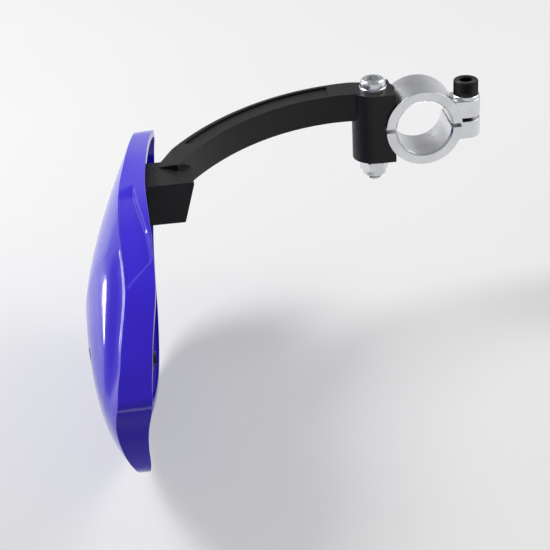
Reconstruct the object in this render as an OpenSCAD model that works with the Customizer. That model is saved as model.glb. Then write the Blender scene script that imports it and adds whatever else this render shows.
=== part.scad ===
// Hand guard for the left end of a motorcycle handlebar.
// Origin: centre of the clamp's bore, on the handlebar's axis.
// +X runs along the bar to its free end, +Y back to the rider and +Z up.

/* [Bar clamp] */
// Diameter of the handlebar that the clamp grips
bar_d = 22.2; // [20:0.1:25]
// Width of the clamp along the bar
clamp_w = 20; // [17:0.5:24]
// Wall of the clamp band around the bar
clamp_wall = 4.4; // [3.5:0.1:6]
// Gap between the two clamp halves when they are tight
clamp_gap = 1.5; // [0.6:0.1:2.5]
// Height of each front lug, from the split plane
front_lug_h = 6; // [5:0.1:7]
// Height of each rear lug, from the split plane
rear_lug_h = 8; // [6:0.1:9]
// Wall of a lug around its bolt
lug_wall = 2.6; // [2.4:0.1:3.5]
// Bevel at both ends of the clamp's bore
clamp_bevel = 0.8; // [0.3:0.1:1.2]

/* [Clamp fasteners] */
// Diameter of the two clamp bolts
bolt_d = 6; // [5:0.1:6.4]
// Radial clearance of a bolt in its hole
bolt_gap = 0.2; // [0.1:0.05:0.4]
// Thickness of the washers on the clamp bolts
washer_t = 1.4; // [1:0.1:2]
// Wall of the steel bushes moulded into the arm
bush_wall = 1.4; // [1:0.1:1.8]

/* [Arm] */
// Top of the arm over the clamp, from the bar's axis
root_top = 15; // [13:0.5:18]
// Underside of the arm's root, from the bar's axis
root_bottom = -14; // [-17:0.5:-12]
// Side wall of the root around the clamp's lugs
root_wall = 2.6; // [2.2:0.1:3.6]
// Clearance of the root around the lugs and the band
root_gap = 0.3; // [0.2:0.05:0.5]
// Width of the arm's beam at the root
beam_w_root = 13; // [11:0.5:15]
// Width of the arm's beam at the shield
beam_w_tip = 9.5; // [8:0.5:11]
// Depth of the arm's beam
beam_h = 11.5; // [9:0.5:12]
// How far the beam bows towards the bike's middle
beam_bow = 12; // [8:1:18]
// Fall of the beam's top from the root to the shield
beam_fall = 7; // [5:0.5:8]
// Depth of the channel along the beam's top
channel_d = 0.8; // [0.4:0.1:1.5]
// Width of the rim on each side of the channel
channel_rim = 1.7; // [1.2:0.1:3]
// Thickness of the plate behind the shield
plate_t = 4.5; // [4:0.5:7]
// Radius of the plate's bosses around the shield screws
boss_r = 7.5; // [7:0.1:9]

/* [Shield] */
// Length of the shield along the bar
shield_l = 185; // [175:1:195]
// Height of the shield
shield_h = 79; // [75:1:84]
// Wall of the shield
shield_wall = 2.8; // [2.2:0.1:3.2]
// Distance from the bar's axis to the shield's foremost point
shield_front = 139.5; // [130:0.5:150]
// How far the inner end of the shield sweeps back
inner_sweep = 22.5; // [20:0.5:28]
// How far the outer end of the shield sweeps back
outer_sweep = 9; // [6:0.1:13]
// How far the upper edge of the front wall curls back
top_curl = 15; // [12:0.5:16]
// How far the lower edge of the front wall curls back
bottom_curl = 15.5; // [12:0.5:19]
// Depth of the pocket pressed into the shield's top
pocket_d = 1.6; // [0.6:0.1:1.8]
// Depth of the valley between the shield's front and its upper ledge
valley_d = 1.1; // [0.4:0.1:1.4]

/* [Shield fasteners] */
// Diameter of the three shield screws
screw_d = 5; // [4:0.1:5.6]
// Radial clearance of a screw in its hole
screw_gap = 0.25; // [0.1:0.05:0.5]
// Thickness of the washers under the screw heads
screw_washer_t = 1; // [0.8:0.1:1.6]
// Radial clearance of a washer in the shield's round recess
recess_gap = 1; // [0.5:0.1:1.5]
// Depth of the hexagon pockets that hold the nuts
nut_sink = 2.8; // [1.5:0.1:3]

/* [Hidden] */
$fn = 64;
eps = 0.01;
far = 400;

// Clamp: radii, the distance of the bolts from the bar's axis and the lugs
bar_r = bar_d / 2;
band_r = bar_r + clamp_wall;
bolt_r = bolt_d / 2;
hole_r = bolt_r + bolt_gap;
bolt_y = band_r + hole_r + 0.3;
lug_r = hole_r + lug_wall;
bush_r = hole_r + bush_wall;
head_r = bolt_r * 1.7;
head_h = bolt_r * 1.1;
cap_head_r = bolt_r * 5 / 3;
cap_head_h = bolt_d;
washer_r = bolt_r * 11 / 6;
nut_r = bolt_r * 10 / 3 / sqrt(3);
nut_h = bolt_d;
thread_end = 2.2;

// Arm: the root around the front lugs and the plate behind the shield
pocket_r = lug_r + root_gap;
root_r = pocket_r + root_wall;
neck_back = bolt_y * 0.6;
beam_start = [0, -bolt_y];

// Shield: the crease outline seen from the front, about the outline's middle, for a shield of
// outline_l by outline_h. Each row is x, z, depth of the rim behind the crease, flare of the rim
outline_l = 185.5;
outline_h = 78.5;
outline_mid = [79, -31];
crease_keys = [
    [-88, 33, 7.6, 0.5], [-57, 38.5, 8.2, 1.5], [-23, 39.5, 9.7, 3], [13, 39.5, 10.8, 3.2],
    [45, 35.3, 10.2, 1.9], [71, 24.4, 10.2, 1.2], [81.5, 17.8, 10.8, 0.9], [85.6, 14.6, 11, 0.7],
    [88.2, 9.5, 10.6, 0.6], [92.3, -1, 7, 0.4], [86, -10, 3.5, 0.2], [61, -23, 3, 0],
    [29, -35, 3, 0], [-7, -39, 3, 0], [-43, -29, 4, 0], [-71, -9, 6.5, 0], [-88, 11, 8.5, 0],
    [-93, 24, 8.2, 0.2]
];
key_steps = 8;
scale_x = shield_l / outline_l;
scale_z = shield_h / outline_h;
crown_x = outline_mid.x + 19 * scale_x;
inner_reach = 110 * scale_x;
outer_reach = 75 * scale_x;
inner_power = 1.4;
outer_power = 2.8;
crown_level = outline_mid.y + 11 * scale_z;
crown_tilt = 0.06;
top_reach = 28.5 * scale_z;
bottom_reach = 50 * scale_z;
outer_top_gain = 1.15;
inner_top_loss = 0.42;
outer_bottom_gain = 3.9;
pocket_from = outline_mid.x - 21 * scale_x;
pocket_to = outline_mid.x + 47 * scale_x;
pocket_slant = 12;
pocket_ramp = 9;
pocket_step = 2.5;
pocket_shallow = 0.35;
lip_from = 0.62;
lip_to = 0.98;
lip_step = 0.12;
valley_from = outline_mid.x + 20 * scale_x;
valley_to = outline_mid.x + 86 * scale_x;
valley_ramp = 13;
valley_shares = [0.84, 0.95, 0.965];

// Shield screws: places seen from the front
screw_spots = [[67, -11], [54, -38], [124, -24]];
screw_r = screw_d / 2;
screw_hole_r = screw_r + screw_gap;
screw_head_r = screw_r * 1.9;
screw_head_h = screw_r * 1.1;
screw_washer_r = screw_d;
recess_r = screw_washer_r + recess_gap;
screw_nut_r = screw_r * 3.2 / sqrt(3);
screw_nut_h = screw_d * 0.9;
screw_end = 1;
seat_sink = screw_head_h + screw_washer_t;
boss_reach = 20;
recess_reach = 40;

// Behind the shield: the plate starts at the rearmost screw seat and its outer end steps forward
plate_front = max([for (s = screw_spots) post_y(s)]);
plate_back = plate_front + plate_t;
plate_step = 2.3;
step_from = screw_spots[0].x + 4;
step_to = screw_spots[2].x - boss_r;
plate_top = -3;
rib_w = 12;
block_from = 31;
block_to = 52;
block_top = 6;
block_bottom = -10;
block_front = plate_back + 4;
block_back = plate_back + 21.5;
block_cut = 6;
block_slope = 4.5;
neck_top = -3.6;
neck_from = 36;
neck_front = plate_back - 1.5;
beam_end = [38, plate_back + 12.5];
beam_h1 = [-beam_bow, -29];
beam_h2 = [-38, 23];
beam_steps = 28;
profile_root = -27;
profile_end = beam_end.y - 20;
ramp_top = beam_end.y + 3;
ramp_foot = beam_end.y - 5;

// Point t of a closed Catmull-Rom curve through the keys, from key i
function spline(k, i, t) =
    let (n = len(k), a = k[(i + n - 1) % n], b = k[i], c = k[(i + 1) % n], d = k[(i + 2) % n])
    0.5 * (2 * b + (c - a) * t + (2 * a - 5 * b + 4 * c - d) * t * t
        + (3 * b - a - 3 * c + d) * t * t * t);

// The crown is the line of the front wall's foremost points
function inward(x) = min(1.3, max(0, (crown_x - x) / inner_reach));
function outward(x) = min(1.2, max(0, (x - crown_x) / outer_reach));
function crown_y(x) =
    -shield_front + inner_sweep * pow(inward(x), inner_power)
        + outer_sweep * pow(outward(x), outer_power);
function crown_z(x) = crown_level - crown_tilt * (x - crown_x);

// Depth of the front wall at a place seen from the front
function front_y(x, z) =
    let (up = max(0, z - crown_z(x)) / top_reach, down = max(0, crown_z(x) - z) / bottom_reach)
    crown_y(x)
        + top_curl * (1 + outer_top_gain * pow(outward(x), 2) - inner_top_loss * pow(inward(x), 0.8))
            * up * up
        + bottom_curl * (1 + outer_bottom_gain * pow(outward(x), 4)) * down * down;

// Seat of a screw: a flat just under the front wall around the round recess
function seat_y(s) =
    max([for (a = [0:30:330]) front_y(s.x + recess_r * cos(a), s.y + recess_r * sin(a))])
    + seat_sink;
function post_y(s) = seat_y(s) + shield_wall;

// Smooth step from 0 at a to 1 at b
function ease(a, b, v) = let (t = min(1, max(0, (v - a) / (b - a)))) t * t * (3 - 2 * t);

// The crease line with its rim values, at the real size
crease = [
    for (i = [0:len(crease_keys) - 1], j = [0:key_steps - 1])
        let (p = spline(crease_keys, i, j / key_steps))
        [outline_mid.x + p[0] * scale_x, outline_mid.y + p[1] * scale_z, p[2], max(0, p[3])]
];
count = len(crease);

// Unit vector that points out of the outline at each of its points
out_dir = [
    for (i = [0:count - 1])
        let (a = crease[(i + count - 1) % count], b = crease[(i + 1) % count],
            d = [a[1] - b[1], b[0] - a[0]])
        d / norm(d)
];
outline_c = [outline_mid.x + 4, outline_mid.y + 5];

// 1 where the crease runs along the shield's top, 0 at its sides and underneath
function on_top(i) = ease(0.2, 0.8, out_dir[i].y);

// One ring of the front wall: share of the way from the middle to the crease, set in by inset
function wall_ring(share, inset, back) = [
    for (i = [0:count - 1])
        let (edge = [crease[i][0], crease[i][1]] - inset * out_dir[i],
            p = outline_c + share * (edge - outline_c),
            dip = inset > 0 ? 0 : valley(p.x, share) * on_top(i))
        [p.x, front_y(p.x, p.y) + back + dip, p.y - dip]
];

// The valley lies just in front of the crease, along the outer half of the top
function valley(x, share) =
    valley_d / sqrt(2) * ease(valley_from, valley_from + valley_ramp, x)
    * (1 - ease(valley_to - valley_ramp, valley_to, x))
    * ease(valley_shares[0], valley_shares[1], share) * (1 - ease(valley_shares[2], 1, share));

// One ring of the rim: share of the way from the crease to the rear edge
function rim_ring(share, inset, back) = [
    for (i = [0:count - 1])
        let (c = crease[i], flare = c[3] * share - inset,
            start = front_y(c[0], c[1]) + back,
            end = front_y(c[0], c[1]) + c[2],
            press = inset > 0 ? 0 : pocket_press(c[0], share) * on_top(i))
        [c[0] + out_dir[i].x * flare, start + (end - start) * share,
            c[1] + out_dir[i].y * flare - press]
];

// The pocket on top deepens and widens as it runs outwards, and ends at a slanted step
function pocket_press(x, share) =
    let (end = pocket_to - pocket_slant * share,
        widening = ease(pocket_from, pocket_to - pocket_slant, x),
        lip = lip_from + (lip_to - lip_from) * widening)
    pocket_d * (pocket_shallow + (1 - pocket_shallow) * min(1, share / lip))
    * ease(pocket_from, pocket_from + pocket_ramp, x) * (1 - ease(end - pocket_step, end, x))
    * ease(0, lip_step, share) * (1 - ease(lip - lip_step, lip, share));

outer_shares = [0.14, 0.36, 0.57, 0.73, 0.84, 0.93, 0.965, 1];
rim_shares = [0.12, 0.3, 0.45, 0.62, 0.8, 1];
shield_rings = concat(
    [for (s = outer_shares) wall_ring(s, 0, 0)],
    [for (s = rim_shares) rim_ring(s, 0, 0)],
    [for (s = [1, 0.5, 0]) rim_ring(s, shield_wall, shield_wall * 0.75)],
    [for (i = [len(outer_shares) - 2:-1:0]) wall_ring(outer_shares[i], shield_wall, shield_wall)]
);
ring_count = len(shield_rings);
shield_points = concat(
    [[outline_c.x, front_y(outline_c.x, outline_c.y), outline_c.y]],
    [for (r = shield_rings, p = r) p],
    [[outline_c.x, front_y(outline_c.x, outline_c.y) + shield_wall, outline_c.y]]
);

// Triangles of the closed skin: a fan, bands between rings and a fan at the far end
function ring_at(r, i) = 1 + r * count + i % count;
shield_faces = concat(
    [for (i = [0:count - 1]) [0, ring_at(0, i), ring_at(0, i + 1)]],
    [
        for (r = [0:ring_count - 2], i = [0:count - 1], half = [0, 1])
            half == 0
                ? [ring_at(r, i), ring_at(r + 1, i), ring_at(r + 1, i + 1)]
                : [ring_at(r, i), ring_at(r + 1, i + 1), ring_at(r, i + 1)]
    ],
    [
        for (i = [0:count - 1])
            [ring_at(ring_count - 1, i), 1 + ring_count * count, ring_at(ring_count - 1, i + 1)]
    ]
);

// Cylinder along Y from y0 to y1 at a place seen from the front
module along_y(s, r, y0, y1) {
    translate([s.x, y0, s.y])
        rotate([-90, 0, 0])
            cylinder(r = r, h = y1 - y0);
}

// Cylinder along X, centred on the bar's axis
module along_x(r, w) {
    rotate([0, 90, 0])
        cylinder(r = r, h = w, center = true);
}

// Flat washer lying on z = 0
module washer(outer, inner, t) {
    difference() {
        cylinder(r = outer, h = t);
        translate([0, 0, -eps])
            cylinder(r = inner, h = t + 2 * eps);
    }
}

// Hexagon nut lying on z = 0, with a round collar that holds its locking ring
module lock_nut(r, h, bore) {
    collar = h * 0.3;
    difference() {
        union() {
            cylinder(r = r, h = h - collar, $fn = 6);
            cylinder(r = r * 0.82, h = h);
        }
        translate([0, 0, -eps])
            cylinder(r = bore, h = h + 2 * eps);
    }
}

// Hexagon socket sunk into a head whose top is at z = 0
module hex_socket(r, depth) {
    translate([0, 0, -depth])
        cylinder(r = r, h = depth + eps, $fn = 6);
}

// Bolt with its head on z = 0 and its shank below
module bolt(r, hr, hh, len) {
    difference() {
        union() {
            cylinder(r = hr, h = hh * 0.7);
            translate([0, 0, hh * 0.7])
                cylinder(r = hr * 0.86, h = hh * 0.3);
        }
        translate([0, 0, hh])
            hex_socket(r * 0.95, hh * 0.6);
    }
    translate([0, 0, -len])
        cylinder(r = r, h = len);
}

// Boss behind a screw's recess. Its front follows the wall's slope, inside the wall
module screw_boss(s) {
    front = front_y(s.x, s.y);
    slope_x = (front_y(s.x + 1, s.y) - front_y(s.x - 1, s.y)) / 2;
    slope_z = (front_y(s.x, s.y + 1) - front_y(s.x, s.y - 1)) / 2;
    tilt = asin(slope_z / norm([slope_x, 1, slope_z]));
    difference() {
        along_y(s, boss_r, front - boss_reach, post_y(s));
        translate([s.x, front + shield_wall * 0.45, s.y])
            rotate([-tilt, 0, atan(slope_x)])
                translate([-far / 2, -far, -far / 2])
                    cube([far, far, far]);
    }
}

module shield() {
    color([0.23, 0.16, 0.8])
        difference() {
            union() {
                polyhedron(points = shield_points, faces = shield_faces);
                for (s = screw_spots)
                    screw_boss(s);
            }
            for (s = screw_spots) {
                along_y(s, recess_r, seat_y(s) - recess_reach, seat_y(s));
                along_y(s, screw_hole_r, seat_y(s) - eps, post_y(s) + eps);
            }
        }
}

// Point t of the beam's centre line, a cubic Bezier curve in plan
function beam_p(t) =
    pow(1 - t, 3) * beam_start + 3 * pow(1 - t, 2) * t * (beam_start + beam_h1)
    + 3 * (1 - t) * t * t * (beam_end + beam_h2) + t * t * t * beam_end;
function beam_side(t) =
    let (d = beam_p(min(1, t + 0.01)) - beam_p(max(0, t - 0.01)))
    [-d.y, d.x] / norm(d);
function beam_outline(w0, w1, t0, t1) = [
    for (side = [1, -1], i = [0:beam_steps])
        let (t = side > 0 ? t0 + (t1 - t0) * i / beam_steps : t1 + (t0 - t1) * i / beam_steps)
        beam_p(t) + side * (w0 + (w1 - w0) * t) / 2 * beam_side(t)
];

// Height of the beam's top at a distance along Y. Its end slopes down to the block's top
function beam_top(y) = root_top - beam_fall * (profile_root - y) / (profile_root - beam_end.y);

module side_slab(points) {
    rotate([90, 0, 90])
        linear_extrude(height = far, center = true)
            polygon(points);
}

module beam() {
    intersection() {
        translate([0, 0, -far / 2])
            linear_extrude(height = far)
                polygon(beam_outline(beam_w_root, beam_w_tip, 0, 1));
        side_slab([
            [-bolt_y + 2, root_top], [profile_root, root_top], [ramp_top, beam_top(ramp_top)],
            [ramp_foot, block_top - 0.5], [profile_end, beam_top(profile_end) - beam_h],
            [profile_root, root_top - beam_h], [-bolt_y + 2, root_top - beam_h]
        ]);
    }
}

module beam_channel() {
    intersection() {
        translate([0, 0, -far / 2])
            linear_extrude(height = far)
                polygon(beam_outline(
                    beam_w_root - 2 * channel_rim, beam_w_tip - 2 * channel_rim, 0.2, 0.86
                ));
        side_slab([
            [0, root_top + 1], [0, root_top - channel_d], [profile_root, root_top - channel_d],
            [profile_end, beam_top(profile_end) - channel_d], [profile_end, root_top + 1]
        ]);
    }
}

// Root: a box with a round nose, open at the back for the clamp's front lugs
module root() {
    translate([0, -bolt_y, root_bottom])
        cylinder(r = root_r, h = root_top - root_bottom);
    translate([-root_r, -bolt_y, root_bottom])
        cube([2 * root_r, bolt_y - neck_back, root_top - root_bottom]);
}

module root_cuts() {
    pocket_z = front_lug_h + root_gap;
    translate([0, -bolt_y, -pocket_z])
        cylinder(r = pocket_r, h = 2 * pocket_z);
    translate([-pocket_r, -bolt_y, -pocket_z])
        cube([2 * pocket_r, bolt_y, 2 * pocket_z]);
    along_x(band_r + root_gap, far);
    translate([0, -bolt_y, root_bottom - eps])
        cylinder(r = bush_r, h = root_top - root_bottom + 2 * eps);
}

// End of the arm: a block behind the shield's edge, a neck and a plate with three bosses
module arm_end() {
    intersection() {
        translate([0, 0, block_bottom])
            linear_extrude(height = block_top - block_bottom)
                polygon([
                    [block_from, block_front], [block_to, block_front], [block_to, block_back],
                    [block_from + block_cut, block_back], [block_from, block_back - block_cut]
                ]);
        side_slab([
            [block_front - 1, block_bottom - 1], [block_back - block_slope, block_bottom - 1],
            [block_back, block_top - 1], [block_back, block_top + 1], [block_front - 1, block_top + 1]
        ]);
    }
    translate([0, 0, block_bottom])
        linear_extrude(height = neck_top - block_bottom)
            polygon([
                [neck_from, neck_front], [block_to - 1, neck_front],
                [block_to - 1, block_front + 1], [neck_from, block_front + 1]
            ]);
    intersection() {
        translate([0, plate_back + 1, 0])
            rotate([90, 0, 0])
                linear_extrude(height = plate_t + plate_step + 2)
                    polygon(plate_outline);
        translate([0, 0, -far / 2])
            linear_extrude(height = far)
                polygon([
                    [0, plate_front], [step_from, plate_front], [step_to, plate_front - plate_step],
                    [far, plate_front - plate_step], [far, plate_back - plate_step],
                    [step_to, plate_back - plate_step], [step_from, plate_back], [0, plate_back]
                ]);
    }
    for (s = screw_spots)
        along_y(s, boss_r, post_y(s), back_y(s));
}

// Back of the plate at a screw, and the seat of its nut
function back_y(s) = plate_back - (s.x < step_to ? 0 : plate_step);
function nut_seat(s) = back_y(s) - nut_sink;

// Front view of the plate: from the neck to the upper, outer and lower bosses
plate_outline = let (a = screw_spots[0], b = screw_spots[1], c = screw_spots[2], w = rib_w / 2) [
    [neck_from + 4, plate_top], [a.x + 3, plate_top], [c.x, c.y + w * 0.8],
    [c.x, c.y - w * 0.8], [a.x, a.y - w - 2], [b.x + w, b.y],
    [b.x - w, b.y], [neck_from + 4, block_bottom - 2]
];

module nut_pocket(s) {
    translate([s.x, nut_seat(s), s.y])
        rotate([-90, 0, 0])
            cylinder(r = screw_nut_r + bolt_gap, h = nut_sink + 1, $fn = 6);
}

module arm() {
    color([0.08, 0.08, 0.09])
        difference() {
            union() {
                root();
                beam();
                arm_end();
            }
            root_cuts();
            beam_channel();
            for (s = screw_spots) {
                along_y(s, screw_hole_r, post_y(s) - eps, plate_back + eps);
                nut_pocket(s);
            }
        }
}

// Bore for the bar, bevelled at both ends
module bar_bore() {
    half = clamp_w / 2;
    mouth_r = bar_r + clamp_bevel + 1;
    rotate([0, 90, 0])
        rotate_extrude()
            polygon([
                [0, -half - 1], [mouth_r, -half - 1], [bar_r, clamp_bevel - half],
                [bar_r, half - clamp_bevel], [mouth_r, half + 1], [0, half + 1]
            ]);
}

// One half of the clamp band with its two lugs, above the split plane
module clamp_half(lug_bore) {
    difference() {
        intersection() {
            union() {
                along_x(band_r, clamp_w);
                lug(-bolt_y, front_lug_h);
                lug(bolt_y, rear_lug_h);
            }
            translate([-far / 2, -far / 2, clamp_gap / 2])
                cube([far, far, far]);
        }
        bar_bore();
        translate([0, -bolt_y, 0])
            cylinder(r = hole_r, h = far / 2);
        translate([0, bolt_y, 0])
            cylinder(r = lug_bore, h = far / 2);
    }
}

module lug(y, h) {
    translate([0, y, 0])
        cylinder(r = lug_r, h = h);
    translate([-lug_r, min(y, 0), 0])
        cube([2 * lug_r, abs(y), h]);
}

module clamp_upper() {
    color([0.78, 0.79, 0.8])
        clamp_half(hole_r);
}

module clamp_lower() {
    color([0.78, 0.79, 0.8])
        mirror([0, 0, 1])
            clamp_half(bolt_r);
}

module root_bolt() {
    len = root_top + washer_t - root_bottom + washer_t + nut_h + thread_end;
    color([0.72, 0.73, 0.75])
        translate([0, -bolt_y, root_top + washer_t])
            bolt(bolt_r, head_r, head_h, len);
}

module root_washer_top() {
    color([0.75, 0.76, 0.78])
        translate([0, -bolt_y, root_top])
            washer(washer_r, hole_r, washer_t);
}

module root_washer_bottom() {
    color([0.75, 0.76, 0.78])
        translate([0, -bolt_y, root_bottom - washer_t])
            washer(washer_r, hole_r, washer_t);
}

module root_nut() {
    color([0.7, 0.71, 0.73])
        translate([0, -bolt_y, root_bottom - washer_t])
            mirror([0, 0, 1])
                lock_nut(nut_r, nut_h, bolt_r);
}

module bush_upper() {
    color([0.7, 0.71, 0.73])
        translate([0, -bolt_y, front_lug_h])
            washer(bush_r, hole_r, root_top - front_lug_h);
}

module bush_lower() {
    color([0.7, 0.71, 0.73])
        translate([0, -bolt_y, root_bottom])
            washer(bush_r, hole_r, -front_lug_h - root_bottom);
}

module clamp_bolt() {
    color([0.12, 0.12, 0.13])
        translate([0, bolt_y, rear_lug_h + washer_t])
            bolt(bolt_r, cap_head_r, cap_head_h, washer_t + 2 * rear_lug_h);
}

module clamp_washer() {
    color([0.75, 0.76, 0.78])
        translate([0, bolt_y, rear_lug_h])
            washer(washer_r, hole_r, washer_t);
}

// Screw from the shield's front, its washer in the recess and its nut behind the plate
module shield_screw(s) {
    head_y = seat_y(s) - screw_washer_t;
    color([0.1, 0.1, 0.11])
        translate([s.x, head_y, s.y])
            rotate([90, 0, 0])
                bolt(screw_r, screw_head_r, screw_head_h,
                    nut_seat(s) + screw_nut_h + screw_end - head_y);
}

module shield_washer(s) {
    color([0.1, 0.1, 0.11])
        translate([s.x, seat_y(s), s.y])
            rotate([90, 0, 0])
                washer(screw_washer_r, screw_hole_r, screw_washer_t);
}

module shield_nut(s) {
    color([0.1, 0.1, 0.11])
        translate([s.x, nut_seat(s), s.y])
            rotate([-90, 0, 0])
                lock_nut(screw_nut_r, screw_nut_h, screw_r);
}

module screw_upper() { shield_screw(screw_spots[0]); }
module screw_lower() { shield_screw(screw_spots[1]); }
module screw_outer() { shield_screw(screw_spots[2]); }
module washer_upper() { shield_washer(screw_spots[0]); }
module washer_lower() { shield_washer(screw_spots[1]); }
module washer_outer() { shield_washer(screw_spots[2]); }
module nut_upper() { shield_nut(screw_spots[0]); }
module nut_lower() { shield_nut(screw_spots[1]); }
module nut_outer() { shield_nut(screw_spots[2]); }

shield();
arm();
clamp_upper();
clamp_lower();
root_bolt();
root_washer_top();
root_washer_bottom();
root_nut();
bush_upper();
bush_lower();
clamp_bolt();
clamp_washer();
screw_upper();
screw_lower();
screw_outer();
washer_upper();
washer_lower();
washer_outer();
nut_upper();
nut_lower();
nut_outer();
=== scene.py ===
"""Looks of a left motorcycle hand guard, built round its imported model.

Every length is in millimetres until build() turns it into metres. +X runs along the handlebar
to its free end, +Y back to the rider and +Z up, from the centre of the clamp's bore.
"""

import math

import bmesh
import bpy
import numpy as np
from mathutils import Matrix, Vector


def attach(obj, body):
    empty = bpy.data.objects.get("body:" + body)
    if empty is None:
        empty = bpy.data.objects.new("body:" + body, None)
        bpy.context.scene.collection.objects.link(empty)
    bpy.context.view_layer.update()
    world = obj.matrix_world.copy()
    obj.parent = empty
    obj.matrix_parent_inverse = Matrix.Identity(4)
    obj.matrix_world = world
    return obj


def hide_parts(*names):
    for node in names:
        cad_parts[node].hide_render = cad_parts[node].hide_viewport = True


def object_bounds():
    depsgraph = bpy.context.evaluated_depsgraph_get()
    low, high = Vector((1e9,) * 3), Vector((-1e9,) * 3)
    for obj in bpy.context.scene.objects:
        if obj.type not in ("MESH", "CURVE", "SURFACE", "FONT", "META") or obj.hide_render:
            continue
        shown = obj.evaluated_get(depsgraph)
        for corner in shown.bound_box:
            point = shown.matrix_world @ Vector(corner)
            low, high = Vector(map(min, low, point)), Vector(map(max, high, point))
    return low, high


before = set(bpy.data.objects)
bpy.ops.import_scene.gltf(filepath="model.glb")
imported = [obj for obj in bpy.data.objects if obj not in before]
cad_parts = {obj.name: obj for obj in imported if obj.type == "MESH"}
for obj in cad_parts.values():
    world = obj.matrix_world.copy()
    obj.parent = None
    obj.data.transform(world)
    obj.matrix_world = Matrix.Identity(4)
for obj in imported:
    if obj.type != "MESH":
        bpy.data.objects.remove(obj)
cad_low, cad_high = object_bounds()

MM = 0.001
TAU = 2 * math.pi

# Clamp and its bolts
BAR_R = 11.1
BAND_R = BAR_R + 4.4
BOLT_R = 3.0
HOLE_R = BOLT_R + 0.2
BOLT_Y = BAND_R + HOLE_R + 0.3
WASHER_T = 1.4
WASHER_R = BOLT_R * 11 / 6
NUT_R = BOLT_R * 10 / 3 / math.sqrt(3)
REAR_LUG_H = 8.0
THREAD_END = 2.2
BOLT_PITCH = 1.0
ROOT_THREAD = 20.0
CLAMP_THREAD = 15.0
KNURL_DEPTH = 0.22

# Arm
ROOT_TOP = 15.0
ROOT_BOTTOM = -14.0
PLATE_T = 4.5
PLATE_STEP = 2.3
NUT_SINK = 2.8

# Shield: length and height, wall, and the depths of its curves
SHIELD_L = 185.0
SHIELD_H = 79.0
SHIELD_WALL = 2.8
SHIELD_FRONT = 139.5
INNER_SWEEP = 22.5
OUTER_SWEEP = 9.0
TOP_CURL = 15.0
BOTTOM_CURL = 15.5
POCKET_DEPTH = 1.6
VALLEY_DEPTH = 1.1

# Shield: the crease seen from the front, round OUTLINE_MID: x, z, rim depth, rim flare
OUTLINE_L = 185.5
OUTLINE_H = 78.5
OUTLINE_MID = (79.0, -31.0)
CREASE_KEYS = [
    (-88, 33, 7.6, 0.5), (-57, 38.5, 8.2, 1.5), (-23, 39.5, 9.7, 3), (13, 39.5, 10.8, 3.2),
    (45, 35.3, 10.2, 1.9), (71, 24.4, 10.2, 1.2), (81.5, 17.8, 10.8, 0.9), (85.6, 14.6, 11, 0.7),
    (88.2, 9.5, 10.6, 0.6), (92.3, -1, 7, 0.4), (86, -10, 3.5, 0.2), (61, -23, 3, 0), (29, -35, 3, 0),
    (-7, -39, 3, 0), (-43, -29, 4, 0), (-71, -9, 6.5, 0), (-88, 11, 8.5, 0), (-93, 24, 8.2, 0.2),
]
SCALE_X = SHIELD_L / OUTLINE_L
SCALE_Z = SHIELD_H / OUTLINE_H
CROWN_X = OUTLINE_MID[0] + 19 * SCALE_X
INNER_REACH = 110 * SCALE_X
OUTER_REACH = 75 * SCALE_X
CROWN_LEVEL = OUTLINE_MID[1] + 11 * SCALE_Z
CROWN_TILT = 0.06
TOP_REACH = 28.5 * SCALE_Z
BOTTOM_REACH = 50 * SCALE_Z
OUTER_TOP_GAIN = 1.15
INNER_TOP_LOSS = 0.42
OUTER_BOTTOM_GAIN = 3.9
POCKET_FROM = OUTLINE_MID[0] - 21 * SCALE_X
POCKET_TO = OUTLINE_MID[0] + 47 * SCALE_X
POCKET_SLANT = 12.0
POCKET_RAMP = 9.0
POCKET_STEP = 1.6
POCKET_SHALLOW = 0.35
LIP_FROM = 0.62
LIP_TO = 0.98
LIP_STEP = 0.12
VALLEY_FROM = OUTLINE_MID[0] + 20 * SCALE_X
VALLEY_TO = OUTLINE_MID[0] + 86 * SCALE_X
VALLEY_RAMP = 13.0
OUTLINE_C = np.array([OUTLINE_MID[0] + 4, OUTLINE_MID[1] + 5])
INNER_POWER = 1.4
OUTER_POWER = 2.8

# Shield screws seen from the front, as x and z
SCREW_SPOTS = {"upper": (67.0, -11.0), "lower": (54.0, -38.0), "outer": (124.0, -24.0)}
SCREW_R = 2.5
SCREW_HOLE_R = SCREW_R + 0.25
SCREW_WASHER_R = 5.0
SCREW_WASHER_T = 1.0
SCREW_HEAD_R = SCREW_R * 1.9
SCREW_HEAD_H = SCREW_R * 1.1
SCREW_NUT_R = SCREW_R * 3.2 / math.sqrt(3)
SCREW_NUT_H = 4.5
RECESS_R = SCREW_WASHER_R + 1.0
BOSS_R = 7.5
SCREW_END = 1.0
SCREW_PITCH = 0.8
SCREW_THREAD = 11.0

# Segments of round forms, of holes and of the knurled head, and the edge angle that gets rounded
ROUND = 96
HOLE_ROUND = 64
KNURL_ROUND = 144
SHARP_EDGE = 32

# Camera: where the photograph was taken from, and the frame round the guard
CAMERA_AT = Vector((0.578905, -0.122570, 0.251609))
CAMERA_RIGHT = Vector((0.20656, 0.97838, -0.01058))
CAMERA_UP = Vector((-0.37830, 0.08983, 0.92131))
CAMERA_LENS = 41.96
SENSOR = 36.0
IMAGE_SIDE = 550
GUARD_MIDDLE_PX = (219.0, 340.5)
ZOOM = 2.45

# Strength of the dome's light and of the floor's glow, near and far, in shader units
DOME_STRENGTH = 0.36
FLOOR_GLOW = 0.32
FAR_GLOW = 0.5

# The lamp for the streak on the shield's crown, and the place on the crown it aims at, in metres
STREAK_AT = (-0.185, -0.385, -0.02)
STREAK_MIRROR = (0.125, -0.132, -0.004)


# Shield surface

def smooth_step(low, high, value):
    t = np.clip((value - low) / (high - low), 0, 1)
    return t * t * (3 - 2 * t)


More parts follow.
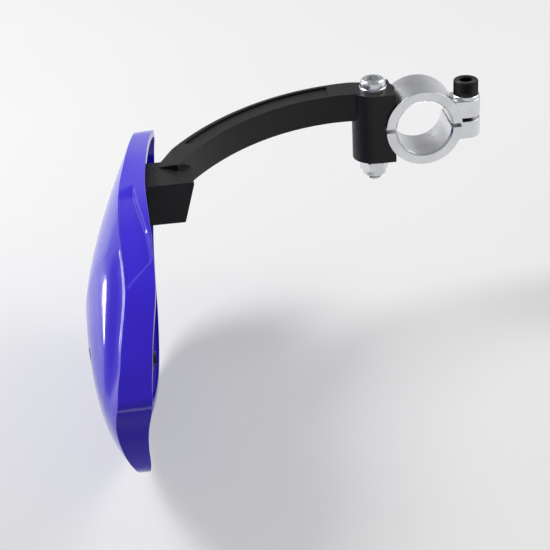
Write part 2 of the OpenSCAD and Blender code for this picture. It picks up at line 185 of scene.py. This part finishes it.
def closed_spline(keys, spacing):
    """Points about spacing apart on a closed Catmull-Rom curve through the keys."""
    k = np.array(keys, float)
    rows = []
    for n in range(len(k)):
        before, here, after, beyond = k[n - 1], k[n], k[(n + 1) % len(k)], k[(n + 2) % len(k)]
        steps = max(6, round(np.linalg.norm((after - here)[:2]) / spacing))
        t = (np.arange(steps) / steps)[:, None]
        rows.append(0.5 * (
            2 * here + (after - before) * t + (2 * before - 5 * here + 4 * after - beyond) * t * t
            + (3 * here - before - 3 * after + beyond) * t ** 3
        ))
    return np.concatenate(rows)


def inward(x):
    return np.clip((CROWN_X - x) / INNER_REACH, 0, 1.3)


def outward(x):
    return np.clip((x - CROWN_X) / OUTER_REACH, 0, 1.2)


def crown_y(x):
    back = INNER_SWEEP * inward(x) ** INNER_POWER + OUTER_SWEEP * outward(x) ** OUTER_POWER
    return back - SHIELD_FRONT


def crown_z(x):
    return CROWN_LEVEL - CROWN_TILT * (x - CROWN_X)


def front_y(x, z):
    """Depth of the front wall at a place seen from the front."""
    up = np.clip((z - crown_z(x)) / TOP_REACH, 0, None)
    down = np.clip((crown_z(x) - z) / BOTTOM_REACH, 0, None)
    top_gain = 1 + OUTER_TOP_GAIN * outward(x) ** 2 - INNER_TOP_LOSS * inward(x) ** 0.8
    bottom_gain = 1 + OUTER_BOTTOM_GAIN * outward(x) ** 4
    return crown_y(x) + TOP_CURL * top_gain * up ** 2 + BOTTOM_CURL * bottom_gain * down ** 2


def crease_line(spacing):
    """The crease as rows of x, z, rim depth and flare, and the unit vectors pointing out of it."""
    line = closed_spline(CREASE_KEYS, spacing)
    line[:, 0] = OUTLINE_MID[0] + line[:, 0] * SCALE_X
    line[:, 1] = OUTLINE_MID[1] + line[:, 1] * SCALE_Z
    line[:, 3] = np.clip(line[:, 3], 0, None)
    along = np.roll(line[:, :2], -1, 0) - np.roll(line[:, :2], 1, 0)
    out = np.stack([-along[:, 1], along[:, 0]], 1)
    return line, out / np.linalg.norm(out, axis=1, keepdims=True)


def pocket_press(x, share):
    """How far the pocket on top of the rim is pressed in, up to its slanted step."""
    end = POCKET_TO - POCKET_SLANT * share
    lip = LIP_FROM + (LIP_TO - LIP_FROM) * smooth_step(POCKET_FROM, POCKET_TO - POCKET_SLANT, x)
    along = smooth_step(POCKET_FROM, POCKET_FROM + POCKET_RAMP, x)
    along = along * (1 - smooth_step(end - POCKET_STEP, end, x))
    floor = POCKET_SHALLOW + (1 - POCKET_SHALLOW) * np.clip(share / lip, 0, 1)
    across = smooth_step(0, 0.1, share) * (1 - smooth_step(lip - LIP_STEP, lip, share))
    return POCKET_DEPTH * along * floor * across


def valley(x, share):
    """How far the front wall dips just before the crease, along the outer half of the top."""
    along = smooth_step(VALLEY_FROM, VALLEY_FROM + VALLEY_RAMP, x)
    along = along * (1 - smooth_step(VALLEY_TO - VALLEY_RAMP, VALLEY_TO, x))
    across = smooth_step(0.84, 0.95, share) * (1 - smooth_step(0.965, 1, share))
    return VALLEY_DEPTH / math.sqrt(2) * along * across


def wall_ring(line, out, share, inset, back):
    edge = line[:, :2] - inset * out
    p = OUTLINE_C + share * (edge - OUTLINE_C)
    dip = 0 if inset > 0 else valley(p[:, 0], share) * smooth_step(0.2, 0.8, out[:, 1])
    return np.stack([p[:, 0], front_y(p[:, 0], p[:, 1]) + back + dip, p[:, 1] - dip], 1)


def rim_ring(line, out, share, inset, back):
    flare = line[:, 3] * share - inset
    at_crease = front_y(line[:, 0], line[:, 1])
    start = at_crease + back
    end = at_crease + line[:, 2]
    press = 0 if inset > 0 else pocket_press(line[:, 0], share) * smooth_step(0.2, 0.8, out[:, 1])
    return np.stack([
        line[:, 0] + out[:, 0] * flare, start + (end - start) * share,
        line[:, 1] + out[:, 1] * flare - press,
    ], 1)


def seat_y(spot):
    """Depth of a screw's seat in its round recess."""
    angles = np.radians(np.arange(0, 360, 30))
    ring = front_y(spot[0] + RECESS_R * np.cos(angles), spot[1] + RECESS_R * np.sin(angles))
    return ring.max() + SCREW_HEAD_H + SCREW_WASHER_T


def post_y(spot):
    return seat_y(spot) + SHIELD_WALL


PLATE_BACK = max(post_y(s) for s in SCREW_SPOTS.values()) + PLATE_T


# Mesh helpers

def build(name, points, faces, slot, smooth_angle=35):
    """A new piece from points in millimetres, riding on the part's only body."""
    mesh = bpy.data.meshes.new(name)
    mesh.from_pydata([tuple(p) for p in np.asarray(points, float) * MM], [], faces)
    piece = bpy.data.objects.new(name, mesh)
    bpy.context.scene.collection.objects.link(piece)
    finish_mesh(piece, smooth_angle)
    piece.data.materials.append(MATERIALS[slot])
    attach(piece, "root")
    return piece


def finish_mesh(piece, smooth_angle):
    """Makes the faces point outwards and shades them smooth up to an angle in degrees."""
    bm = bmesh.new()
    bm.from_mesh(piece.data)
    bmesh.ops.recalc_face_normals(bm, faces=bm.faces)
    bm.to_mesh(piece.data)
    bm.free()
    piece.data.polygons.foreach_set("use_smooth", [True] * len(piece.data.polygons))
    piece.data.set_sharp_from_angle(angle=math.radians(smooth_angle))


def skin(rings):
    """Points and faces of a closed skin through rings of equal length, with a pole at each end."""
    count = len(rings[0])
    points = np.concatenate(rings)
    faces = []
    for r in range(len(rings) - 1):
        for i in range(count):
            j = (i + 1) % count
            faces.append((r * count + i, (r + 1) * count + i, (r + 1) * count + j, r * count + j))
    poles = [rings[0].mean(0), rings[-1].mean(0)]
    first, last = len(points), len(points) + 1
    base = (len(rings) - 1) * count
    for i in range(count):
        j = (i + 1) % count
        faces.append((first, i, j))
        faces.append((last, base + j, base + i))
    return np.concatenate([points, poles]), faces


def closed_loop(rings):
    """Points and faces of a skin whose last ring joins the first."""
    count = len(rings[0])
    total = len(rings)
    faces = []
    for r in range(total):
        n = (r + 1) % total
        for i in range(count):
            j = (i + 1) % count
            faces.append((r * count + i, n * count + i, n * count + j, r * count + j))
    return np.concatenate(rings), faces


def apply_modifiers(piece):
    """Replaces the piece's mesh by the one its modifiers make."""
    graph = bpy.context.evaluated_depsgraph_get()
    mesh = bpy.data.meshes.new_from_object(piece.evaluated_get(graph))
    piece.modifiers.clear()
    piece.data = mesh


def cut(piece, cutters, operation="DIFFERENCE"):
    """Cuts the cutters out of the piece, or joins them to it, and deletes them."""
    for cutter in cutters:
        modifier = piece.modifiers.new("cut", "BOOLEAN")
        modifier.operation = operation
        modifier.solver = "EXACT"
        modifier.object = cutter
    apply_modifiers(piece)
    for cutter in cutters:
        bpy.data.objects.remove(cutter)


def helper(points, faces):
    """A mesh that only cuts or joins another."""
    mesh = bpy.data.meshes.new("helper")
    mesh.from_pydata([tuple(p) for p in np.asarray(points, float) * MM], [], faces)
    piece = bpy.data.objects.new("helper", mesh)
    bpy.context.scene.collection.objects.link(piece)
    finish_mesh(piece, 30)
    return piece


def ring_xy(radius, z, segments, hexagon=0.0, knurl=0.0):
    """A ring round Z: a circle, a hexagon with that corner radius, or a knurled circle."""
    a = np.arange(segments) / segments * TAU
    r = np.full(segments, float(radius))
    if hexagon:
        r = radius * math.cos(math.pi / 6) / np.cos((a % (math.pi / 3)) - math.pi / 6)
    if knurl:
        r = r - knurl * (np.arange(segments) % 2)
    return np.stack([r * np.cos(a), r * np.sin(a), np.full(segments, float(z))], 1)


def lift(points, matrix):
    """Points moved by a matrix whose translation is in millimetres."""
    p = np.asarray(points, float)
    m = np.array(matrix)
    return p @ m[:3, :3].T + m[:3, 3]


def facing(spot_x, spot_y, spot_z, axis):
    """Matrix that puts a part made along +Z at a place, pointing along axis."""
    turn = Vector((0, 0, 1)).rotation_difference(Vector(axis)).to_matrix().to_4x4()
    return Matrix.Translation((spot_x, spot_y, spot_z)) @ turn


# Materials

def new_material(name, **values):
    """A node material whose shader sockets take the given uniform values."""
    material = bpy.data.materials.new(name)
    material.use_nodes = True
    shader = material.node_tree.nodes["Principled BSDF"]
    for socket, value in values.items():
        shader.inputs[socket.replace("_", " ")].default_value = value
    return material, material.node_tree, shader


def add(tree, kind, **settings):
    node = tree.nodes.new(kind)
    for key, value in settings.items():
        if key in node.inputs:
            node.inputs[key].default_value = value
        else:
            setattr(node, key, value)
    return node


def coordinates(tree, stretch=(1, 1, 1)):
    """Object coordinates, stretched along each axis."""
    source = tree.nodes.new("ShaderNodeTexCoord")
    mapping = add(tree, "ShaderNodeMapping", Scale=stretch)
    tree.links.new(source.outputs["Object"], mapping.inputs["Vector"])
    return mapping.outputs["Vector"]


def noise(tree, scale, detail=4.0, stretch=(1, 1, 1), roughness=0.5):
    node = add(tree, "ShaderNodeTexNoise", Scale=scale, Detail=detail, Roughness=roughness)
    tree.links.new(coordinates(tree, stretch), node.inputs["Vector"])
    return node.outputs["Fac"]


def spread(tree, value, low, high):
    """Maps a texture's middle range to low and high."""
    node = tree.nodes.new("ShaderNodeMapRange")
    node.inputs["From Min"].default_value = 0.3
    node.inputs["From Max"].default_value = 0.7
    node.inputs["To Min"].default_value = low
    node.inputs["To Max"].default_value = high
    tree.links.new(value, node.inputs["Value"])
    return node.outputs["Result"]


def blend(tree, factor, first, second):
    node = tree.nodes.new("ShaderNodeMix")
    node.data_type = "RGBA"
    tree.links.new(factor, node.inputs["Factor"])
    node.inputs["A"].default_value = (*first, 1)
    node.inputs["B"].default_value = (*second, 1)
    return node.outputs["Result"]


def bump(tree, shader, height, strength, distance):
    node = add(tree, "ShaderNodeBump", Strength=strength, Distance=distance)
    tree.links.new(height, node.inputs["Height"])
    tree.links.new(node.outputs["Normal"], shader.inputs["Normal"])
    return node


def blue_plastic():
    """Glossy moulded plastic with a faint orange peel and hair scratches."""
    material, tree, shader = new_material("blue_plastic", IOR=1.5)
    tone = spread(tree, noise(tree, 22, 3), 0, 1)
    tree.links.new(
        blend(tree, tone, (0.030, 0.008, 0.60), (0.037, 0.011, 0.66)), shader.inputs["Base Color"]
    )
    scuffs = noise(tree, 900, 2, (1, 0.06, 0.2))
    tree.links.new(spread(tree, scuffs, 0.07, 0.13), shader.inputs["Roughness"])
    bump(tree, shader, noise(tree, 420, 2), 0.08, 0.0003)
    return material


def black_plastic():
    """Glass filled plastic with a fine moulded grain."""
    material, tree, shader = new_material("black_plastic", IOR=1.36)
    tone = spread(tree, noise(tree, 60, 5), 0, 1)
    tree.links.new(
        blend(tree, tone, (0.007, 0.007, 0.008), (0.014, 0.014, 0.015)), shader.inputs["Base Color"]
    )
    tree.links.new(spread(tree, noise(tree, 700, 3), 0.36, 0.52), shader.inputs["Roughness"])
    bump(tree, shader, noise(tree, 2600, 2), 0.25, 0.00012)
    return material


def metal(name, dark, light, rough, grain_scale, stretch, depth):
    """Bare or plated metal with a grain that runs one way."""
    material, tree, shader = new_material(name, Metallic=1.0)
    tone = spread(tree, noise(tree, 90, 4), 0, 1)
    tree.links.new(blend(tree, tone, dark, light), shader.inputs["Base Color"])
    grain = noise(tree, grain_scale, 3, stretch)
    tree.links.new(spread(tree, grain, *rough), shader.inputs["Roughness"])
    bump(tree, shader, grain, 0.3, depth)
    return material


MATERIALS = {
    "blue_plastic": blue_plastic(),
    "black_plastic": black_plastic(),
    "cast_aluminium": metal(
        "cast_aluminium", (0.70, 0.71, 0.73), (0.82, 0.83, 0.85), (0.26, 0.36), 500, (1, 0.6, 0.6), 0.00002
    ),
    "zinc_steel": metal(
        "zinc_steel", (0.62, 0.64, 0.66), (0.76, 0.77, 0.78), (0.22, 0.36), 1200, (1, 1, 1), 0.00003
    ),
    "black_steel": metal(
        "black_steel", (0.030, 0.030, 0.032), (0.055, 0.055, 0.058), (0.3, 0.45), 1500, (1, 1, 1), 0.00003
    ),
}


# Shield

WALL_SHARES = np.concatenate([np.linspace(0.04, 0.82, 22), np.linspace(0.845, 0.995, 16)])
RIM_SHARES = np.concatenate([[0.0, 0.02], np.linspace(0.05, 0.98, 32)])
SPACING = 1.0


def make_shield():
    line, out = crease_line(SPACING)
    rings = [wall_ring(line, out, s, 0, 0) for s in WALL_SHARES]
    rings += [rim_ring(line, out, s, 0, 0) for s in RIM_SHARES]
    rings += [rim_ring(line, out, 1, d, 0) for d in (0.25, 0.9, 1.9, 2.55)]
    rings += [rim_ring(line, out, s, SHIELD_WALL, SHIELD_WALL * 0.75) for s in (0.97, 0.6, 0.3, 0.05)]
    rings += [wall_ring(line, out, s, SHIELD_WALL, SHIELD_WALL) for s in WALL_SHARES[::-2]]
    shield = build("shield_shell", *skin(rings), "blue_plastic")
    bosses, cuts = [], []
    for spot in SCREW_SPOTS.values():
        seat, post = seat_y(spot), post_y(spot)
        bosses.append(boss(spot, post))
        cuts.append(recess(spot, seat))
        cuts.append(helper(*tube(spot, SCREW_HOLE_R, seat - 1, post + 1)))
    cut(shield, bosses, "UNION")
    cut(shield, cuts)
    finish_mesh(shield, 40)
    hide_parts("shield")
    return shield


def tube(spot, radius, y0, y1):
    """A cylinder along Y at a place seen from the front."""
    points, faces = skin([ring_xy(radius, z, HOLE_ROUND) for z in (0, y1 - y0)])
    return lift(points, facing(spot[0], y0, spot[1], (0, 1, 0))), faces


def boss(spot, post):
    """A boss behind a screw, from inside the wall to its flat end, with a rounded edge."""
    x0, z0 = spot
    a = np.arange(ROUND) / ROUND * TAU
    x, z = x0 + BOSS_R * np.cos(a), z0 + BOSS_R * np.sin(a)
    rings = [np.stack([x, front_y(x, z) + SHIELD_WALL * 0.5, z], 1)]
    for inset, back in ((0, 0.45), (0.13, 0.13), (0.45, 0)):
        r = BOSS_R - inset
        rings.append(np.stack([x0 + r * np.cos(a), np.full(ROUND, post - back), z0 + r * np.sin(a)], 1))
    return helper(*skin(rings))


def recess(spot, seat):
    """The round recess in front of a screw's seat."""
    profile = [(RECESS_R, 14), (RECESS_R, 0.5), (RECESS_R - 0.15, 0.15), (RECESS_R - 0.5, 0)]
    rings = [ring_xy(r, z, ROUND) for r, z in profile]
    points, faces = skin(rings)
    return helper(lift(points, facing(spot[0], seat, spot[1], (0, -1, 0))), faces)


# Rounded copies of the frame's own solids

def rounded_copy(node, name, width, slot, segments=3):
    """A copy of a CAD node with its sharp edges rounded, width in millimetres."""
    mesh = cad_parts[node].data.copy()
    bm = bmesh.new()
    bm.from_mesh(mesh)
    bmesh.ops.remove_doubles(bm, verts=bm.verts, dist=2e-6)
    bmesh.ops.dissolve_limit(
        bm, angle_limit=math.radians(0.6), verts=bm.verts, edges=bm.edges, delimit=set()
    )
    limit = math.radians(SHARP_EDGE)
    edges = [e for e in bm.edges if len(e.link_faces) == 2 and e.calc_face_angle(0) > limit]
    bmesh.ops.bevel(
        bm, geom=edges, offset=width * MM, segments=segments, profile=0.5,
        affect="EDGES", clamp_overlap=True, harden_normals=False,
    )
    bm.to_mesh(mesh)
    bm.free()
    mesh.materials.clear()
    mesh.materials.append(MATERIALS[slot])
    piece = bpy.data.objects.new(name, mesh)
    bpy.context.scene.collection.objects.link(piece)
    finish_mesh(piece, 50)
    weighted = piece.modifiers.new("normals", "WEIGHTED_NORMAL")
    weighted.keep_sharp = True
    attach(piece, "root")
    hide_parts(node)
    return piece


# Fasteners, made along +Z with the head's seat at z = 0

def washer_mesh(outer, inner, thick):
    edge = 0.18
    profile = [
        (inner, thick - edge / 2), (inner + edge / 2, thick), (outer - edge, thick), (outer, thick - edge),
        (outer, edge * 0.6), (outer - edge * 0.6, 0), (inner + edge / 2, 0), (inner, edge / 2),
    ]
    return closed_loop([ring_xy(r, z, ROUND) for r, z in profile])


def socket_rings(head_top, socket_r, depth, segments):
    """Rings of a hexagon socket, from its mouth to its drilled bottom."""
    mouth = head_top - 0.15
    return [
        ring_xy(socket_r + 0.35, head_top, segments),
        ring_xy(socket_r, mouth - 0.1, segments, hexagon=1),
        ring_xy(socket_r, head_top - depth, segments, hexagon=1),
        ring_xy(socket_r * 0.8, head_top - depth, segments),
        ring_xy(socket_r * 0.3, head_top - depth - 0.5, segments),
    ]


def thread_rings(radius, z_from, z_to, pitch, segments):
    """Rings of a helical thread that runs down from z_from to z_to, with a chamfered end."""
    depth = pitch * 0.54
    steps = int(math.ceil((z_from - z_to) / pitch * 10))
    rings = []
    a = np.arange(segments) / segments
    for z in np.linspace(z_from, z_to, steps):
        phase = (z / pitch + a) % 1.0
        groove = np.abs(phase - 0.5) * 2
        fade = smooth_step(0, pitch, z_from - z)
        end = np.clip((z - z_to) * 0.9, 0, depth)
        r = radius - np.maximum(depth * np.clip(groove * 1.25 - 0.12, 0, 1) * fade, depth - end)
        rings.append(np.stack([r * np.cos(a * TAU), r * np.sin(a * TAU), np.full(segments, z)], 1))
    return rings


def bolt_mesh(radius, head_profile, socket, length, thread, pitch, segments=ROUND, knurl=0.0):
    """A socket bolt: head profile as (radius, z) from the seat up, then shank and thread below.

    socket is the radius and depth of the hexagon socket, thread the length of the thread.
    """
    head_top = head_profile[-1][1]
    rings = socket_rings(head_top, *socket, segments)[::-1]
    last = len(head_profile) - 1
    for n, (r, z) in enumerate(reversed(head_profile)):
        rough = knurl if 1 <= n < last else 0.0
        rings.append(ring_xy(r, z, segments, knurl=rough))
    rings.append(ring_xy(radius + 0.25, 0, segments))
    rings.append(ring_xy(radius, -0.25, segments))
    rings += thread_rings(radius, -(length - thread), -length, pitch, segments)
    return skin(rings)


def nut_mesh(corner_r, height, bore):
    """A lock nut on z = 0: chamfered hexagon, round collar and an open bore."""
    collar = height * 0.3
    body = height - collar
    flat_r = corner_r * math.cos(math.pi / 6)
    hexagon = ring_xy(corner_r, 0, ROUND, hexagon=1)
    rings = []

    def clipped(z, limit):
        ring = hexagon.copy()
        r = np.linalg.norm(ring[:, :2], axis=1)
        ring[:, :2] *= (np.minimum(r, limit) / r)[:, None]
        ring[:, 2] = z
        return ring

    rings.append(ring_xy(bore, 0.4, ROUND))
    rings.append(ring_xy(bore + 0.4, 0, ROUND))
    rings.append(ring_xy(flat_r * 0.97, 0, ROUND))
    for t in np.linspace(0, 1, 6):
        rings.append(clipped(0.02 + 0.45 * t, flat_r * 0.985 + (corner_r - flat_r * 0.985) * t))
    for t in np.linspace(1, 0, 6):
        rings.append(clipped(body - 0.45 * t, flat_r * 0.985 + (corner_r - flat_r * 0.985) * t))
    collar_r = corner_r * 0.82
    rings.append(ring_xy(collar_r + 0.1, body, ROUND))
    rings.append(ring_xy(collar_r, body + 0.15, ROUND))
    rings.append(ring_xy(collar_r, height - 0.35, ROUND))
    rings.append(ring_xy(collar_r - 0.35, height, ROUND))
    rings.append(ring_xy(collar_r - 0.8, height - 0.05, ROUND))
    rings.append(ring_xy(bore, height - 0.25, ROUND))
    return closed_loop(rings)


def fastener(name, mesh, matrix, slot, node, angle=32):
    points, faces = mesh
    piece = build(name, lift(points, matrix), faces, slot, angle)
    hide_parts(node)
    return piece


def make_root_fasteners():
    radius, height = BOLT_R * 1.7, BOLT_R * 1.1
    head = [(radius * 0.97, 0), (radius, 0.2), (radius, height * 0.45), (radius * 0.985, height * 0.62),
            (radius * 0.93, height * 0.8), (radius * 0.82, height * 0.93), (radius * 0.7, height)]
    length = ROOT_TOP - ROOT_BOTTOM + 2 * WASHER_T + 2 * BOLT_R + THREAD_END
    bolt = bolt_mesh(BOLT_R, head, (BOLT_R * 0.95, height * 0.6), length, ROOT_THREAD, BOLT_PITCH)
    top = facing(0, -BOLT_Y, ROOT_TOP + WASHER_T, (0, 0, 1))
    fastener("root_bolt_zinc", bolt, top, "zinc_steel", "root_bolt")
    washer = washer_mesh(WASHER_R, HOLE_R, WASHER_T)
    above = facing(0, -BOLT_Y, ROOT_TOP, (0, 0, 1))
    fastener("root_washer_upper", washer, above, "zinc_steel", "root_washer_top")
    below = facing(0, -BOLT_Y, ROOT_BOTTOM, (0, 0, -1))
    fastener("root_washer_lower", washer, below, "zinc_steel", "root_washer_bottom")
    nut = nut_mesh(NUT_R, 2 * BOLT_R, BOLT_R)
    under = facing(0, -BOLT_Y, ROOT_BOTTOM - WASHER_T, (0, 0, -1))
    fastener("root_lock_nut", nut, under, "zinc_steel", "root_nut")


def make_clamp_fasteners():
    radius, height = BOLT_R * 5 / 3, 2 * BOLT_R
    head = [(radius - 0.3, 0), (radius, 0.3), (radius, height * 0.3), (radius, height * 0.6),
            (radius, height - 0.7), (radius - 0.15, height - 0.25), (radius - 0.5, height)]
    length = WASHER_T + 2 * REAR_LUG_H
    bolt = bolt_mesh(
        BOLT_R, head, (BOLT_R * 0.95, height * 0.6), length, CLAMP_THREAD, BOLT_PITCH,
        segments=KNURL_ROUND, knurl=KNURL_DEPTH,
    )
    at = facing(0, BOLT_Y, REAR_LUG_H + WASHER_T, (0, 0, 1))
    fastener("clamp_cap_bolt", bolt, at, "black_steel", "clamp_bolt", 50)
    washer = washer_mesh(WASHER_R, HOLE_R, WASHER_T)
    under = facing(0, BOLT_Y, REAR_LUG_H, (0, 0, 1))
    fastener("clamp_bolt_washer", washer, under, "zinc_steel", "clamp_washer")


def make_shield_fasteners():
    washer = washer_mesh(SCREW_WASHER_R, SCREW_HOLE_R, SCREW_WASHER_T)
    nut = nut_mesh(SCREW_NUT_R, SCREW_NUT_H, SCREW_R)
    radius, height = SCREW_HEAD_R, SCREW_HEAD_H
    head = [(radius * 0.96, 0), (radius, 0.18), (radius * 0.99, height * 0.3), (radius * 0.94, height * 0.55),
            (radius * 0.82, height * 0.82), (radius * 0.66, height * 0.97), (radius * 0.58, height)]
    for place, spot in SCREW_SPOTS.items():
        seat = seat_y(spot)
        head_y = seat - SCREW_WASHER_T
        nut_seat = PLATE_BACK - NUT_SINK - (PLATE_STEP if place == "outer" else 0)
        length = nut_seat + SCREW_NUT_H + SCREW_END - head_y
        screw = bolt_mesh(SCREW_R, head, (SCREW_R * 0.95, height * 0.6), length, SCREW_THREAD, SCREW_PITCH)
        front = facing(spot[0], head_y, spot[1], (0, -1, 0))
        fastener(f"screw_{place}_button", screw, front, "black_steel", f"screw_{place}")
        seat_at = facing(spot[0], seat, spot[1], (0, -1, 0))
        fastener(f"washer_{place}_flat", washer, seat_at, "black_steel", f"washer_{place}")
        nut_at = facing(spot[0], nut_seat, spot[1], (0, 1, 0))
        fastener(f"nut_{place}_lock", nut, nut_at, "black_steel", f"nut_{place}")


# Camera, light and floor

def make_camera():
    """The photograph's camera, turned to the guard and zoomed in from the same place."""
    camera = bpy.data.objects.new("camera", bpy.data.cameras.new("camera"))
    bpy.context.scene.collection.objects.link(camera)
    back = CAMERA_RIGHT.cross(CAMERA_UP)
    focal_px = CAMERA_LENS / SENSOR * IMAGE_SIDE
    dx = GUARD_MIDDLE_PX[0] - IMAGE_SIDE / 2
    dy = IMAGE_SIDE / 2 - GUARD_MIDDLE_PX[1]
    aim = (CAMERA_RIGHT * dx + CAMERA_UP * dy - back * focal_px).normalized()
    turn = (-back).rotation_difference(aim)
    photo_turn = Matrix((CAMERA_RIGHT, CAMERA_UP, back)).transposed()
    camera.matrix_world = Matrix.Translation(CAMERA_AT) @ (turn.to_matrix() @ photo_turn).to_4x4()
    camera.data.sensor_width = SENSOR
    camera.data.lens = CAMERA_LENS * ZOOM
    camera.data.clip_start = 0.01
    bpy.context.scene.camera = camera


def area_light(name, place, target, size, energy):
    light = bpy.data.lights.new(name, "AREA")
    light.shape = "RECTANGLE"
    light.size, light.size_y = size
    light.energy = energy
    lamp = bpy.data.objects.new(name, light)
    bpy.context.scene.collection.objects.link(lamp)
    lamp.location = place
    aim = Vector(target) - Vector(place)
    lamp.rotation_mode = "QUATERNION"
    lamp.rotation_quaternion = aim.to_track_quat("-Z", "Y")
    return lamp


def make_stage():
    low = cad_low.z - 0.0005
    mesh = bpy.data.meshes.new("floor")
    half = 3.0
    corners = [(-half, -half, low), (half, -half, low), (half, half, low), (-half, half, low)]
    mesh.from_pydata(corners, [], [(0, 1, 2, 3)])
    floor = bpy.data.objects.new("floor", mesh)
    bpy.context.scene.collection.objects.link(floor)
    mesh.materials.append(floor_material())
    make_world()
    middle = (0.07, -0.07, -0.01)
    area_light("key", (-0.40, -0.74, 0.74), middle, (0.5, 0.4), 10.5)
    area_light("rear", (-0.2, 0.8, 0.7), middle, (0.8, 0.6), 6)
    area_light("corner", (0.62, -0.19, 0.28), middle, (0.08, 0.08), 0.03)
    streak = area_light("streak", STREAK_AT, STREAK_MIRROR, (0.09, 0.02), 0.08)
    streak.visible_camera = False


def shown_rays(tree):
    """1 for the rays that show the background: camera, glossy and transmission rays."""
    path = tree.nodes.new("ShaderNodeLightPath")
    first = add(tree, "ShaderNodeMath", operation="MAXIMUM")
    tree.links.new(path.outputs["Is Camera Ray"], first.inputs[0])
    tree.links.new(path.outputs["Is Glossy Ray"], first.inputs[1])
    second = add(tree, "ShaderNodeMath", operation="MAXIMUM")
    tree.links.new(first.outputs["Value"], second.inputs[0])
    tree.links.new(path.outputs["Is Transmission Ray"], second.inputs[1])
    return second.outputs["Value"]


def floor_material():
    """Pale matte paper that shows paler than the light it gives the object."""
    material, tree, shader = new_material("floor_paper", Roughness=0.9, Emission_Color=(1, 1, 1, 1))
    tone = spread(tree, noise(tree, 3, 2), 0, 1)
    colour = blend(tree, tone, (0.47, 0.47, 0.47), (0.49, 0.49, 0.49))
    tree.links.new(colour, shader.inputs["Base Color"])
    glow = add(tree, "ShaderNodeMath", operation="MULTIPLY")
    tree.links.new(shown_rays(tree), glow.inputs[0])
    tree.links.new(far_ramp(tree, FLOOR_GLOW, FAR_GLOW), glow.inputs[1])
    tree.links.new(glow.outputs["Value"], shader.inputs["Emission Strength"])
    return material


def far_ramp(tree, near, far):
    """A value that runs from near to far with the distance from the middle of the floor."""
    source = tree.nodes.new("ShaderNodeTexCoord")
    length = add(tree, "ShaderNodeVectorMath", operation="LENGTH")
    tree.links.new(source.outputs["Object"], length.inputs[0])
    ramp = add(tree, "ShaderNodeMapRange")
    ramp.interpolation_type = "SMOOTHSTEP"
    for socket, value in {"From Min": 0.5, "From Max": 2.2, "To Min": near, "To Max": far}.items():
        ramp.inputs[socket].default_value = value
    tree.links.new(length.outputs["Value"], ramp.inputs["Value"])
    return ramp.outputs["Result"]


def height_ramp(tree, low, high, colour_low, colour_high):
    """A colour that runs from one to the other between two heights of the view direction."""
    source = tree.nodes.new("ShaderNodeTexCoord")
    split = tree.nodes.new("ShaderNodeSeparateXYZ")
    tree.links.new(source.outputs["Generated"], split.inputs["Vector"])
    ramp = add(tree, "ShaderNodeMapRange")
    ramp.interpolation_type = "SMOOTHSTEP"
    ramp.inputs["From Min"].default_value = low
    ramp.inputs["From Max"].default_value = high
    tree.links.new(split.outputs["Z"], ramp.inputs["Value"])
    return blend(tree, ramp.outputs["Result"], colour_low, colour_high)


def make_world():
    """A soft dome for the light, and a backdrop that is pale at the horizon and grey overhead."""
    world = bpy.data.worlds.new("studio")
    bpy.context.scene.world = world
    world.use_nodes = True
    tree = world.node_tree
    dome = tree.nodes["Background"]
    dome.inputs["Strength"].default_value = DOME_STRENGTH
    light = height_ramp(tree, -0.1, 0.9, (0.85, 0.86, 0.88), (0.6, 0.61, 0.63))
    tree.links.new(light, dome.inputs["Color"])
    backdrop = add(tree, "ShaderNodeBackground", Strength=1.0)
    shown = height_ramp(tree, 0.1, 0.5, (0.66, 0.66, 0.67), (0.3, 0.3, 0.31))
    tree.links.new(shown, backdrop.inputs["Color"])
    seen = add(tree, "ShaderNodeMixShader")
    tree.links.new(shown_rays(tree), seen.inputs["Fac"])
    tree.links.new(dome.outputs["Background"], seen.inputs[1])
    tree.links.new(backdrop.outputs["Background"], seen.inputs[2])
    tree.links.new(seen.outputs["Shader"], tree.nodes["World Output"].inputs["Surface"])


make_shield()
rounded_copy("arm", "arm_moulding", 0.6, "black_plastic")
for half in ("upper", "lower"):
    rounded_copy(f"clamp_{half}", f"clamp_{half}_half", 0.45, "cast_aluminium")
for bush in ("bush_upper", "bush_lower"):
    rounded_copy(bush, f"{bush}_steel", 0.15, "zinc_steel", segments=2)
make_root_fasteners()
make_clamp_fasteners()
make_shield_fasteners()
make_camera()
make_stage()
bpy.context.scene.view_settings.view_transform = "Standard"
